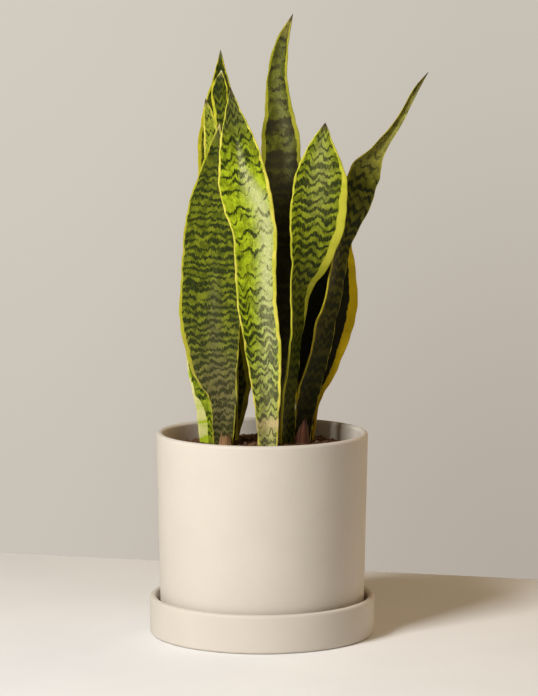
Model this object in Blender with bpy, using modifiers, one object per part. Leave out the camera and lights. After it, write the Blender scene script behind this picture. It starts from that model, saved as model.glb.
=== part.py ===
"""A snake plant in a round planter that stands in its own saucer.

Frame: metres, +Z up, the front of the plant towards -Y. The origin is the
middle of the saucer's flat underside, on the planter's axis.

The saucer, the planter and the potting soil are turned profiles. Each leaf is
a loft of crescent sections carried up a curved midrib, and its buried end sits
in a socket in the soil that is cut with the same loft made slightly larger.
"""

import math

import bmesh
import bpy
import numpy as np

MM = 0.001

# Planter: a slightly tapered ceramic cylinder with a round lip and one drain hole.
POT_HEIGHT = 164.0 * MM
POT_RIM_RADIUS = 89.0 * MM
POT_FOOT_RADIUS = 85.6 * MM
POT_WALL = 6.0 * MM
POT_FLOOR = 8.0 * MM
POT_EDGE_ROUND = 2.5 * MM
DRAIN_HOLE_RADIUS = 7.0 * MM

# Saucer: a shallow dish that the planter stands in with a little play all round.
SAUCER_HEIGHT = 32.0 * MM
SAUCER_WALL = 5.6 * MM
SAUCER_FLOOR = 6.0 * MM
SAUCER_EDGE_ROUND = 2.2 * MM
SAUCER_PLAY = 3.2 * MM

# Both lips are rounded over by this share of their wall, just short of a half round.
LIP_SHARE = 0.46

# Potting soil: fills the planter to just under the rim and rises to a low mound.
SOIL_DROP = 14.0 * MM
SOIL_MOUND = 5.0 * MM

# Leaves: thickness of a blade at its midrib, and where it leaves the soil.
BLADE_THICKNESS = 2.6 * MM
SHEATH_THICKNESS = 4.6 * MM
SHEATH_FADE = 55.0 * MM
MARGIN_THICKNESS = 0.8 * MM
HUSK_THICKNESS = 1.3 * MM
# Near its tip a blade is at most this share of its half width thick.
TIP_THICKNESS_SHARE = 0.9

# Clearances: pieces that rest on each other, and a leaf in its socket.
REST_GAP = 0.3 * MM
SOCKET_GAP = 0.4 * MM

# How finely the shapes are made.
TURN_STEPS = 64
EDGE_STEPS = 3
MOUND_STEPS = 4
BLADE_SECTIONS = 20
HUSK_SECTIONS = 8
SECTION_STEPS = 6
TIP_CROWDING = 1.35

# Heights that follow from the sizes above.
POT_BASE_Z = SAUCER_FLOOR + REST_GAP
POT_RIM_Z = POT_BASE_Z + POT_HEIGHT
SOIL_LINE_Z = POT_RIM_Z - SOIL_DROP

# Stations up each leaf, in millimetres and degrees: height above the soil line,
# midrib x and y, half width, the way the hollow face looks (0 is the front, 90
# the right), and the depth of the channel in that face.
LEAVES = {
    "leaf_front_centre": [
        (-22, 6, -15, 7.0, 0, 3.0),
        (5, 5, -19, 8.0, 0, 3.5),
        (43, 4, -24, 11.0, 0, 4.0),
        (85, 1, -28, 14.8, 2, 4.0),
        (135, -5, -31, 16.6, 4, 3.5),
        (181, -6, -33, 18.0, 4, 3.2),
        (218, -14, -34, 20.8, 0, 3.0),
        (251, -19, -34, 16.5, 0, 2.5),
        (278, -23, -33, 8.5, 0, 1.6),
        (303, -26, -32, 0.5, 0, 0.1),
    ],
    "leaf_front_left": [
        (-22, -31, -7, 7.5, -10, 3.0),
        (3, -32, -10, 8.5, -10, 3.2),
        (41, -32, -12, 11.6, -10, 3.6),
        (75, -40, -15, 21.0, -10, 3.4),
        (116, -43, -18, 26.0, -10, 3.0),
        (162, -41, -20, 25.6, -10, 2.6),
        (201, -41, -21, 21.0, -10, 2.4),
        (231, -39, -21, 13.1, -10, 2.0),
        (255, -37, -20, 5.9, -10, 1.2),
        (273, -35, -19, 0.5, -10, 0.1),
    ],
    "leaf_short_left": [
        (-22, -42, 2, 7.0, -25, 3.0),
        (4, -44, 2, 8.2, -25, 3.2),
        (34, -45, 3, 10.8, -25, 3.0),
        (56, -49, 5, 12.0, -25, 2.6),
        (79, -55, 6, 9.4, -25, 2.0),
        (94, -58, 7, 4.8, -25, 1.0),
        (104, -60, 7, 0.5, -25, 0.1),
    ],
    "leaf_slender_left": [
        (-22, -31, 5, 5.0, 0, 2.0),
        (1, -32, 6, 5.4, 0, 2.2),
        (60, -33, 6, 7.6, -4, 2.4),
        (125, -34, 5, 9.0, -6, 2.2),
        (209, -39, 3, 9.0, -8, 2.0),
        (261, -42, 1, 6.2, -8, 1.6),
        (282, -45, 0, 3.7, -8, 1.0),
        (293, -47, 0, 0.5, -8, 0.1),
    ],
    "leaf_folded_left": [
        (-22, -25, 12, 5.6, -20, 2.6),
        (0, -26, 12, 6.2, -25, 3.0),
        (60, -26, 13, 8.4, -35, 3.4),
        (124, -26, 15, 9.8, -40, 3.6),
        (208, -29, 17, 10.0, -40, 4.0),
        (276, -32, 18, 9.0, -40, 4.4),
        (300, -34, 18, 8.2, -38, 4.0),
        (316, -34, 18, 0.6, -35, 0.1),
    ],
    "leaf_back_left": [
        (-22, -29, 20, 6.0, 0, 2.6),
        (-1, -28, 21, 6.6, 0, 3.0),
        (38, -22, 24, 10.4, 0, 3.2),
        (51, -22, 25, 12.8, 0, 3.2),
        (72, -26, 27, 14.0, -2, 3.2),
        (123, -34, 32, 16.0, -4, 3.0),
        (182, -36, 37, 17.0, -5, 2.8),
        (249, -37, 42, 17.4, -5, 2.6),
        (283, -36, 43, 13.5, -5, 2.2),
        (308, -35, 43, 6.9, -5, 1.6),
        (333, -35, 42, 0.5, -5, 0.1),
    ],
    "leaf_back_centre": [
        (-22, 17, 15, 6.4, -5, 2.6),
        (-2, 17, 18, 7.0, -5, 3.0),
        (55, 18, 29, 13.6, -5, 3.2),
        (122, 18, 35, 18.2, -5, 3.0),
        (207, 17, 39, 17.0, -5, 2.8),
        (253, 16, 43, 16.6, -5, 2.6),
        (285, 14, 46, 11.6, -8, 2.4),
        (308, 13, 47, 9.0, -12, 2.6),
        (337, 17, 47, 6.2, -16, 2.4),
        (363, 26, 45, 0.5, -20, 0.2),
    ],
    "leaf_front_right": [
        (-22, 18, -1, 7.6, 40, 2.8),
        (2, 19, -3, 8.4, 45, 3.0),
        (41, 21, -5, 10.2, 58, 3.0),
        (95, 27, -8, 13.2, 69, 3.0),
        (134, 31, -11, 16.0, 55, 3.0),
        (161, 40, -15, 19.6, 28, 2.8),
        (197, 46, -20, 23.8, 10, 2.4),
        (225, 48, -23, 22.2, 5, 2.2),
        (252, 49, -25, 12.4, 0, 1.6),
        (267, 51, -26, 4.4, 0, 0.8),
        (274, 52, -26, 0.5, 0, 0.1),
    ],
    "leaf_leaning_right": [
        (-22, 30, 10, 7.2, 15, 2.8),
        (1, 32, 12, 7.8, 20, 3.0),
        (40, 37, 13, 10.4, 30, 3.2),
        (83, 48, 13, 13.4, 50, 3.4),
        (105, 52, 13, 14.4, 54, 3.6),
        (127, 58, 12, 14.0, 59, 3.6),
        (167, 65, 13, 13.4, 60, 3.8),
        (200, 76, 12, 13.6, 30, 3.8),
        (230, 85, 10, 14.0, 12, 4.2),
        (250, 96, 8, 6.6, 12, 4.4),
        (275, 114, 5, 3.2, 12, 3.0),
        (301, 128, 3, 2.2, 12, 1.8),
        (315, 138, 2, 0.6, 12, 0.2),
    ],
    "leaf_back_right": [
        (-22, 33, 20, 7.0, 18, 2.8),
        (-1, 35, 20, 7.7, 20, 3.0),
        (38, 38.5, 23.5, 11.2, 20, 3.2),
        (72, 47, 27, 20.2, 20, 3.2),
        (115, 58.2, 32, 23.4, 20, 3.0),
        (149, 63.5, 36.5, 16.4, 20, 2.6),
        (174, 66, 39, 9.4, 20, 2.0),
        (199, 68, 40, 0.5, 20, 0.1),
    ],
}

# Dry, papery remains of old leaf bases, given in the same way as the leaves.
HUSKS = {
    "dry_sheath_left": [
        (-7, -31, -17, 5.6, -10, -1.6),
        (3, -31, -17, 5.6, -10, -1.8),
        (11, -31, -18, 5.2, -10, -2.0),
        (17, -32, -18, 3.4, -10, -1.2),
    ],
    "dry_sheath_right": [
        (-7, 34, -1, 6.0, 20, -1.6),
        (4, 34, -1, 6.6, 20, -2.0),
        (14, 35, -2, 5.2, 24, -2.2),
        (22, 36, -3, 2.6, 28, -1.4),
        (27, 36, -4, 0.7, 30, -0.3),
    ],
}

# Base colour (linear), roughness and metallic value of each material.
FINISHES = {
    "cream_ceramic": ((0.80, 0.71, 0.57), 0.62, 0.0),
    "potting_soil": ((0.022, 0.011, 0.006), 0.95, 0.0),
    "leaf_green": ((0.16, 0.26, 0.035), 0.42, 0.0),
    "dry_leaf": ((0.26, 0.12, 0.05), 0.85, 0.0),
}


def clear_scene():
    """Remove every object of the scene that the script starts in."""
    for old in list(bpy.data.objects):
        bpy.data.objects.remove(old, do_unlink=True)


def make_collection(name):
    """A new collection linked to the scene."""
    group = bpy.data.collections.new(name)
    bpy.context.scene.collection.children.link(group)
    return group


def make_material(name, finish):
    """A Principled material of its own for one node."""
    colour, roughness, metallic = FINISHES[finish]
    material = bpy.data.materials.new(name + "_" + finish)
    material.use_nodes = True
    shader = material.node_tree.nodes["Principled BSDF"]
    shader.inputs["Base Color"].default_value = (*colour, 1.0)
    shader.inputs["Roughness"].default_value = roughness
    shader.inputs["Metallic"].default_value = metallic
    material.diffuse_color = (*colour, 1.0)
    return material


def add_object(name, mesh, group, finish=None):
    """An object at the origin in a collection, with its own material if given."""
    item = bpy.data.objects.new(name, mesh)
    group.objects.link(item)
    if finish:
        mesh.materials.append(make_material(name, finish))
    return item


def as_cutter(item):
    """Hide a cutter from renders and draw it as wire."""
    item.hide_render = True
    item.display_type = "WIRE"
    return item


def rounded(before, corner, after, radius):
    """The points of an arc that rounds one corner of a profile of (r, z) points."""
    corner = np.array(corner)
    to_before = np.array(before) - corner
    to_after = np.array(after) - corner
    to_before = to_before / np.linalg.norm(to_before)
    to_after = to_after / np.linalg.norm(to_after)
    half_angle = 0.5 * math.acos(float(np.dot(to_before, to_after)))
    along = radius / math.tan(half_angle)
    bisector = (to_before + to_after) / np.linalg.norm(to_before + to_after)
    centre = corner + bisector * radius / math.sin(half_angle)
    first = corner + to_before * along - centre
    last = corner + to_after * along - centre
    sweep = math.pi - 2.0 * half_angle
    shares = np.linspace(0.0, 1.0, EDGE_STEPS + 1)
    weight_first = np.sin((1.0 - shares) * sweep) / math.sin(sweep)
    weight_last = np.sin(shares * sweep) / math.sin(sweep)
    return [tuple(centre + a * first + b * last) for a, b in zip(weight_first, weight_last)]


def turned(name, profile, group, finish):
    """Turn a profile of (radius, height) points round the Z axis with a Screw modifier."""
    mesh = bpy.data.meshes.new(name)
    points = [(r, 0.0, z) for r, z in profile]
    edges = [(i, i + 1) for i in range(len(points) - 1)]
    if profile[0][0] > 0.0:
        edges.append((len(points) - 1, 0))
    mesh.from_pydata(points, edges, [])
    item = add_object(name, mesh, group, finish)
    screw = item.modifiers.new("turn", "SCREW")
    screw.axis = "Z"
    screw.angle = math.tau
    screw.steps = TURN_STEPS
    screw.render_steps = TURN_STEPS
    screw.use_merge_vertices = True
    screw.merge_threshold = 0.00001
    screw.use_smooth_shade = True
    return item


def pot_radius(z):
    """The planter's outer radius at a height: a straight taper from foot to rim."""
    share = (z - POT_BASE_Z) / POT_HEIGHT
    return POT_FOOT_RADIUS + (POT_RIM_RADIUS - POT_FOOT_RADIUS) * share


def make_saucer(group):
    """Flat-bottomed dish whose wall clears the planter by SAUCER_PLAY."""
    inside = pot_radius(SAUCER_HEIGHT) + SAUCER_PLAY
    outside = inside + SAUCER_WALL
    lip = SAUCER_WALL * LIP_SHARE
    top_out = (outside, SAUCER_HEIGHT)
    top_in = (inside, SAUCER_HEIGHT)
    foot = (outside, 0.0)
    heel = (inside, SAUCER_FLOOR)
    profile = []
    profile += rounded(top_in, top_out, foot, lip)
    profile += rounded(top_out, foot, (0.0, 0.0), SAUCER_EDGE_ROUND)
    profile += [(0.0, 0.0), (0.0, SAUCER_FLOOR)]
    profile += rounded((0.0, SAUCER_FLOOR), heel, top_in, SAUCER_EDGE_ROUND)
    profile += rounded(heel, top_in, top_out, lip)
    # The list above starts and ends on the lip; the open profile starts on the axis.
    start = profile.index((0.0, SAUCER_FLOOR))
    return turned("saucer", profile[start:] + profile[:start], group, "cream_ceramic")


def make_planter(group):
    """Tapered pot with a round lip, a flat foot and a drain hole through its floor."""
    floor_z = POT_BASE_Z + POT_FLOOR
    rim_out = (POT_RIM_RADIUS, POT_RIM_Z)
    rim_in = (POT_RIM_RADIUS - POT_WALL, POT_RIM_Z)
    foot = (POT_FOOT_RADIUS, POT_BASE_Z)
    heel = (pot_radius(floor_z) - POT_WALL, floor_z)
    hole_low = (DRAIN_HOLE_RADIUS, POT_BASE_Z)
    hole_high = (DRAIN_HOLE_RADIUS, floor_z)
    lip = POT_WALL * LIP_SHARE
    profile = []
    profile += rounded(rim_in, rim_out, foot, lip)
    profile += rounded(rim_out, foot, hole_low, POT_EDGE_ROUND)
    profile += [hole_low, hole_high]
    profile += rounded(hole_high, heel, rim_in, POT_EDGE_ROUND)
    profile += rounded(heel, rim_in, rim_out, lip)
    return turned("planter_pot", profile, group, "cream_ceramic")


def make_soil(group):
    """Soil that fills the planter's hollow: flat below, a low mound on top."""
    bottom = POT_BASE_Z + POT_FLOOR + REST_GAP
    low_radius = pot_radius(bottom) - POT_WALL - REST_GAP
    top_radius = pot_radius(SOIL_LINE_Z) - POT_WALL - REST_GAP
    profile = []
    for share in np.linspace(0.0, 1.0, MOUND_STEPS + 1):
        radius = top_radius * math.sin(share * math.pi / 2.0)
        rise = SOIL_MOUND * (1.0 - (radius / top_radius) ** 2)
        profile.append((radius, SOIL_LINE_Z + rise))
    corner = (low_radius, bottom)
    profile += rounded(profile[-1], corner, (0.0, bottom), POT_EDGE_ROUND + REST_GAP)
    profile.append((0.0, bottom))
    return turned("potting_soil", profile, group, "potting_soil")


def station_curves(stations, heights):
    """Shape-keeping cubic curves through the stations, read at the given heights.

    Each column is a piecewise cubic whose slope at a station is the harmonic mean
    of the slopes beside it, and zero at a turning point, so nothing overshoots.
    """
    table = np.array(stations, dtype=float)
    knots = table[:, 0]
    values = table[:, 1:]
    steps = np.diff(knots)[:, None]
    chords = np.diff(values, axis=0) / steps
    before, after = chords[:-1], chords[1:]
    same_way = before * after > 0.0
    total = np.where(same_way, before + after, 1.0)
    inner = np.where(same_way, 2.0 * before * after / total, 0.0)
    slopes = np.vstack([chords[:1], inner, chords[-1:]])
    heights = np.clip(heights, knots[0], knots[-1])
    cell = np.clip(np.searchsorted(knots, heights, side="right") - 1, 0, len(knots) - 2)
    width = steps[cell]
    t = (heights - knots[cell])[:, None] / width
    rise = values[cell + 1] - values[cell]
    start, end = slopes[cell] * width, slopes[cell + 1] * width
    bend = t * t * (3.0 - 2.0 * t)
    ease_in = t * (1.0 - t) ** 2
    ease_out = t * t * (t - 1.0)
    return values[cell] + rise * bend + start * ease_in + end * ease_out


def blade_rings(stations, heights, thickness, sheath, grow):
    """Crescent sections up a leaf, as an array of rings of points in metres.

    A section runs from margin to margin across the hollow face and back across
    the round one. Its middle line is a parabola as deep as the channel, and its
    thickness falls off as an ellipse to that of the blunt margins.
    """
    columns = station_curves(stations, heights)
    centre = np.column_stack([columns[:, 0], columns[:, 1], heights]) * MM
    centre[:, 2] += SOIL_LINE_Z
    half_width = columns[:, 2] * MM
    turn = np.radians(columns[:, 3])
    channel = columns[:, 4] * MM
    along = np.gradient(centre, axis=0)
    along /= np.linalg.norm(along, axis=1, keepdims=True)
    across = np.column_stack([np.cos(turn), np.sin(turn), np.zeros_like(turn)])
    across -= along * np.sum(across * along, axis=1, keepdims=True)
    across /= np.linalg.norm(across, axis=1, keepdims=True)
    facing = np.cross(across, along)
    fade = np.exp(-np.maximum(heights * MM, 0.0) / SHEATH_FADE)
    middle = thickness + (sheath - thickness) * fade
    half_thick = 0.5 * np.minimum(middle, TIP_THICKNESS_SHARE * half_width)[:, None]
    half_edge = np.minimum(0.5 * MARGIN_THICKNESS, 0.5 * half_thick)
    u = np.sin(np.linspace(-0.5, 0.5, SECTION_STEPS + 1) * math.pi)
    u = np.concatenate([u, u[::-1]])
    side = np.repeat([1.0, -1.0], SECTION_STEPS + 1)
    bow = channel[:, None] * (u**2 - 1.0 / 3.0)
    ellipse = np.sqrt(1.0 - u**2)
    skin = side * (half_edge + (half_thick - half_edge) * ellipse + grow)
    sideways = (half_width[:, None] + grow) * u
    rings = centre[:, None, :] + across[:, None, :] * sideways[:, :, None]
    return rings + facing[:, None, :] * (bow + skin)[:, :, None]


def loft(name, rings, group, finish):
    """Join rings of points into one closed skin with a flat cap at each end."""
    sections, around, _ = rings.shape
    shape = bmesh.new()
    rows = [[shape.verts.new(point) for point in ring] for ring in rings]
    for low, high in zip(rows[:-1], rows[1:]):
        for i in range(around):
            j = (i + 1) % around
            shape.faces.new((low[i], low[j], high[j], high[i]))
    shape.faces.new(rows[0][::-1])
    shape.faces.new(rows[-1])
    bmesh.ops.recalc_face_normals(shape, faces=shape.faces)
    mesh = bpy.data.meshes.new(name)
    shape.to_mesh(mesh)
    shape.free()
    mesh.shade_smooth()
    return add_object(name, mesh, group, finish)


def section_heights(stations, sections):
    """Heights of the sections in millimetres, closer together towards the tip."""
    low, high = stations[0][0], stations[-1][0]
    share = 1.0 - (1.0 - np.linspace(0.0, 1.0, sections)) ** TIP_CROWDING
    return low + (high - low) * share


def make_blade(name, stations, sections, thickness, sheath, group, finish):
    """One leaf or husk, lofted from its root to its tip."""
    heights = section_heights(stations, sections)
    rings = blade_rings(stations, heights, thickness, sheath, 0.0)
    return loft(name, rings, group, finish)


def make_socket(name, stations, sections, thickness, sheath, group):
    """A cutter for one leaf's hole in the soil, on the leaf's own lower sections."""
    heights = section_heights(stations, sections)
    buried = int(np.searchsorted(heights * MM, SOIL_MOUND)) + 1
    rings = blade_rings(stations, heights, thickness, sheath, SOCKET_GAP)[:buried]
    rings[0, :, 2] -= SOCKET_GAP
    return as_cutter(loft(name, rings, group, None))


def cut_sockets(item, group):
    """Take every cutter of a collection away from an object in one exact Boolean."""
    boolean = item.modifiers.new("sockets", "BOOLEAN")
    boolean.operation = "DIFFERENCE"
    boolean.solver = "EXACT"
    boolean.operand_type = "COLLECTION"
    boolean.collection = group


clear_scene()
plant = make_collection("potted_snake_plant")
cutters = make_collection("cutters")

make_saucer(plant)
make_planter(plant)
soil = make_soil(plant)

for leaf, stations in LEAVES.items():
    make_blade(leaf, stations, BLADE_SECTIONS, BLADE_THICKNESS, SHEATH_THICKNESS,
               plant, "leaf_green")
    make_socket("socket_" + leaf, stations, BLADE_SECTIONS, BLADE_THICKNESS,
                SHEATH_THICKNESS, cutters)

for husk, stations in HUSKS.items():
    make_blade(husk, stations, HUSK_SECTIONS, HUSK_THICKNESS, HUSK_THICKNESS,
               plant, "dry_leaf")
    make_socket("socket_" + husk, stations, HUSK_SECTIONS, HUSK_THICKNESS,
                HUSK_THICKNESS, cutters)

cut_sockets(soil, cutters)
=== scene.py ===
"""Looks of a potted snake plant: a banded succulent in a round cream planter on its saucer.

Metres, +Z up, front towards -Y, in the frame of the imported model. The sections follow the
way the thing is put together: saucer and planter, potting soil, one leaf after another,
the two dry sheaths at the foot, and last the table, the light and the camera.
"""

import math

import bpy
import numpy as np
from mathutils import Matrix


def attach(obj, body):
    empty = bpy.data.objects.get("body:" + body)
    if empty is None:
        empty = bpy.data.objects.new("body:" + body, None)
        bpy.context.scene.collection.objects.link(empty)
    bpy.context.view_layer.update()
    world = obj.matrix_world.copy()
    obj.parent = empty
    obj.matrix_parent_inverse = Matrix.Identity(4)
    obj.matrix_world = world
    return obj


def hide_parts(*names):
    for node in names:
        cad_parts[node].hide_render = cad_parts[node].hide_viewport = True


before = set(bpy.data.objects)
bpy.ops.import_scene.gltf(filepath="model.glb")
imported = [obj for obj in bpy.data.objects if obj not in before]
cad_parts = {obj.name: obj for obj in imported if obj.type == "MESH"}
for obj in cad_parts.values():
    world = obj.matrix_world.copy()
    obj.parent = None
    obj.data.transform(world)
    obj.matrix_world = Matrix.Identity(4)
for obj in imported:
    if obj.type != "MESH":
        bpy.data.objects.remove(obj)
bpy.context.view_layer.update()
MM = 0.001


# --------
# Saucer and planter. Both are slip-cast stoneware: each is poured in a round
# plaster mould, so its form is a profile turned about the upright axis, and its
# lip is sponged round. One matt cream glaze covers both, and the planter stands
# loose on the saucer's floor with a narrow gap all round.
# --------
POT_BASE_Z = 6.3 * MM
POT_RIM_Z = 170.3 * MM
POT_RIM_RADIUS = 89 * MM
POT_FOOT_RADIUS = 85.6 * MM
POT_WALL = 6 * MM
POT_FLOOR = 8 * MM
POT_FOOT_ROUND = 2.5 * MM
DRAIN_HOLE_RADIUS = 7 * MM
DRAIN_HOLE_ROUND = 0.8 * MM
SAUCER_HEIGHT = 32 * MM
SAUCER_WALL = 5.6 * MM
SAUCER_FLOOR = 6 * MM
SAUCER_PLAY = 3.2 * MM
SAUCER_FOOT_ROUND = 2.2 * MM
LIP_SHARE = 0.46
CAST_STEP = 5 * MM
CAST_WAVER = 0.12 * MM
CAST_COLUMNS = 256
GLAZE = (0.62, 0.572, 0.505)
GLAZE_GRAIN = (0.64, 0.565, 0.46)
IRON_SPECK = (0.42, 0.3, 0.18)


def pot_radius(z):
    """The planter's outer radius at height z: a straight taper from foot to rim."""
    share = (z - POT_BASE_Z) / (POT_RIM_Z - POT_BASE_Z)
    return POT_FOOT_RADIUS + (POT_RIM_RADIUS - POT_FOOT_RADIUS) * share


def softened(corners, radii, arc_steps=8):
    """A closed line of (radius, height) corners with each corner swept round by an arc.

    At a corner the arc touches both edges: its centre lies on their bisector, at the arc's
    radius over the sine of half the angle, and its points are the two touching directions
    blended by sines. A corner whose radius is 0 stays sharp.
    """
    corners = np.array(corners, dtype=float)
    points = []
    for at, (corner, radius) in enumerate(zip(corners, radii)):
        if radius == 0:
            points.append(corner[None])
            continue
        before = corners[at - 1] - corner
        after = corners[(at + 1) % len(corners)] - corner
        before = before / np.linalg.norm(before)
        after = after / np.linalg.norm(after)
        half = 0.5 * math.acos(float(before @ after))
        bisector = (before + after) / np.linalg.norm(before + after)
        centre = corner + bisector * radius / math.sin(half)
        reach = radius / math.tan(half)
        sweep = math.pi - 2 * half
        share = np.linspace(0, 1, arc_steps + 1)[:, None]
        first = corner + before * reach - centre
        last = corner + after * reach - centre
        arc = np.sin((1 - share) * sweep) * first + np.sin(share * sweep) * last
        points.append(centre + arc / math.sin(sweep))
    return np.vstack(points)


def stepped(profile):
    """The same profile with long straight stretches cut into pieces of at most CAST_STEP."""
    points = [profile[:1]]
    for start, end in zip(profile[:-1], profile[1:]):
        pieces = max(1, int(math.ceil(np.linalg.norm(end - start) / CAST_STEP)))
        share = np.linspace(0, 1, pieces + 1)[1:, None]
        points.append(start + (end - start) * share)
    return np.vstack(points)


def turned(profile, columns=CAST_COLUMNS, waver=CAST_WAVER):
    """The profile turned about Z: a point at angle a is (r cos a, r sin a, z).

    The radius r is the profile's own plus a slow waver of the cast wall, which is a sum of a
    two-lobed and a three-lobed wave that drift with height.
    """
    angle = np.linspace(0, 2 * math.pi, columns, endpoint=False)[None]
    radius, height = profile[:, :1], profile[:, 1:]
    lobes = np.sin(2 * angle + 9 * height) + 0.6 * np.sin(3 * angle - 14 * height + 1.3)
    radius = radius + waver * lobes * np.clip(radius / 0.02, 0, 1)
    return np.stack([radius * np.cos(angle), radius * np.sin(angle), height + 0 * angle], axis=2)


def numbered(rings):
    """The vertex numbers of a grid of points, row by row."""
    rows, columns = rings.shape[:2]
    return np.arange(rows * columns).reshape(rows, columns)


def grid_faces(here):
    """Outward quads between rows of vertex numbers whose columns run round and close."""
    right = np.roll(here, -1, axis=1)
    return np.stack([here[:-1], right[:-1], right[1:], here[1:]], axis=2).reshape(-1, 4)


def capped(rings, low, high):
    """Points, quads and triangles of stacked rings closed onto a low and a high pole."""
    here = numbered(rings)
    points = np.vstack([rings.reshape(-1, 3), low, high])
    fans = []
    for ring, pole, order in ((here[0], here.size, (1, 0, 2)), (here[-1], here.size + 1, (0, 1, 2))):
        ends = (ring, np.roll(ring, -1), np.full_like(ring, pole))
        fans.append(np.stack([ends[which] for which in order], axis=1))
    return points, grid_faces(here), np.vstack(fans)


def make_mesh(name, material, points, quads, triangles=None, shades=None):
    """A smooth mesh object from whole arrays of points, quads and triangles.

    shades holds named point attributes, each an array of three numbers per point.
    """
    triangles = np.zeros((0, 3), dtype=int) if triangles is None else triangles
    corners = np.concatenate([quads.ravel(), triangles.ravel()]).astype(np.int32)
    triangle_starts = 4 * len(quads) + 3 * np.arange(len(triangles))
    starts = np.concatenate([4 * np.arange(len(quads)), triangle_starts]).astype(np.int32)
    mesh = bpy.data.meshes.new(name)
    mesh.vertices.add(len(points))
    mesh.vertices.foreach_set("co", np.asarray(points, dtype=np.float32).ravel())
    mesh.loops.add(len(corners))
    mesh.loops.foreach_set("vertex_index", corners)
    mesh.polygons.add(len(starts))
    mesh.polygons.foreach_set("loop_start", starts)
    mesh.polygons.foreach_set("use_smooth", np.ones(len(starts), dtype=bool))
    mesh.update(calc_edges=True)
    for key, values in (shades or {}).items():
        shade = mesh.attributes.new(key, "FLOAT_VECTOR", "POINT")
        shade.data.foreach_set("vector", np.asarray(values, dtype=np.float32).ravel())
    mesh.materials.append(material)
    item = bpy.data.objects.new(name, mesh)
    bpy.context.scene.collection.objects.link(item)
    return item


class Net:
    """Wires up one node tree: each call adds a node and links or sets its sockets."""

    def __init__(self, tree):
        self.tree = tree

    def put(self, value, socket):
        """Link a socket into another, or set the socket's own value; colours are opaque."""
        if isinstance(value, bpy.types.NodeSocket):
            self.tree.links.new(value, socket)
        else:
            socket.default_value = (*value, 1) if socket.type == "RGBA" else value

    def node(self, kind, settings=None, **inputs):
        """Add a shader node of a kind with settings, and feed its inputs by their names."""
        added = self.tree.nodes.new("ShaderNode" + kind)
        for key, value in (settings or {}).items():
            setattr(added, key, value)
        for key, value in inputs.items():
            self.put(value, added.inputs[key.replace("_", " ")])
        return added

    def use(self, group, **inputs):
        """Add a node group, feed its inputs by their names, and give its outputs."""
        return self.node("Group", {"node_tree": group}, **inputs).outputs

    def in_order(self, kind, values, settings=None):
        """Add a node whose first sockets take the values in order, and give its result."""
        added = self.node(kind, settings)
        for value, socket in zip(values, added.inputs):
            self.put(value, socket)
        return added.outputs[0]

    def sum(self, kind, *values):
        """A Math node, such as ADD or SINE, of one to three values."""
        return self.in_order("Math", values, {"operation": kind})

    def times(self, first, second, more=0):
        """The product of two values, with more added to it."""
        return self.sum("MULTIPLY_ADD", first, second, more)

    def ramp(self, value, low, high, to_low=0, to_high=1):
        """Smooth step of value from low to high, put out between to_low and to_high."""
        smooth = {"interpolation_type": "SMOOTHSTEP"}
        return self.in_order("MapRange", (value, low, high, to_low, to_high), smooth)

    def blend(self, share, first, second):
        """A colour that goes from first to second with share."""
        added = self.node("Mix", {"data_type": "RGBA"})
        colours = [socket for socket in added.inputs if socket.type == "RGBA"]
        for value, socket in zip((share, first, second), (added.inputs[0], *colours)):
            self.put(value, socket)
        return [socket for socket in added.outputs if socket.type == "RGBA"][0]

    def noise(self, place, scale=1, detail=2, roughness=0.5):
        """Fractal noise at a place, from about 0.25 to 0.75."""
        look = {"Scale": scale, "Detail": detail, "Roughness": roughness}
        return self.node("TexNoise", Vector=place, **look).outputs[0]

    def read(self, name):
        """The three numbers of a point attribute of the mesh."""
        vector = self.node("Attribute", {"attribute_name": name}).outputs["Vector"]
        return self.node("SeparateXYZ", Vector=vector).outputs

    def bump(self, shader, strength, distance, height):
        """Let a height roughen the shader's surface."""
        added = self.node("Bump", Strength=strength, Distance=distance, Height=height)
        self.put(added.outputs[0], shader.inputs["Normal"])


def new_group(name, inputs, outputs):
    """A node group, its wiring helper and its ends. Its sockets are values, but Place a vector."""
    group = bpy.data.node_groups.new(name, "ShaderNodeTree")
    for way, titles in (("INPUT", inputs), ("OUTPUT", outputs)):
        for title in titles.split(", "):
            kind = "NodeSocketVector" if title == "Place" else "NodeSocketFloat"
            group.interface.new_socket(title, in_out=way, socket_type=kind)
    entry = group.nodes.new("NodeGroupInput")
    leave = group.nodes.new("NodeGroupOutput")
    return group, Net(group), entry.outputs, leave.inputs


def new_material(name):
    """An empty node material: its wiring helper and its Principled shader."""
    material = bpy.data.materials.new(name)
    material.use_nodes = True
    material.node_tree.nodes.clear()
    net = Net(material.node_tree)
    shader = net.node("BsdfPrincipled")
    net.node("OutputMaterial", Surface=shader.outputs[0])
    return material, net, shader


def make_clouding_group():
    """Slow clouding and fine grain of a surface, for stoneware, soil and paint alike."""
    group, net, given, made = new_group("clouding", "Place, Cloud Size, Grain Size", "Cloud, Grain")
    for title, detail, roughness in (("Cloud", 4, 0.55), ("Grain", 3, 0.6)):
        scale = net.sum("DIVIDE", 1, given[title + " Size"])
        noise = net.noise(given["Place"], scale, detail, roughness)
        net.put(net.ramp(noise, 0.3, 0.7), made[title])
    return group


clouding_group = make_clouding_group()


def clouding(net, cloud_size, grain_size):
    """Object coordinates, and the cloud and grain masks at two sizes."""
    place = net.node("TexCoord").outputs["Object"]
    sizes = {"Cloud_Size": cloud_size, "Grain_Size": grain_size}
    masks = net.use(clouding_group, Place=place, **sizes)
    return place, masks["Cloud"], masks["Grain"]


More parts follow.
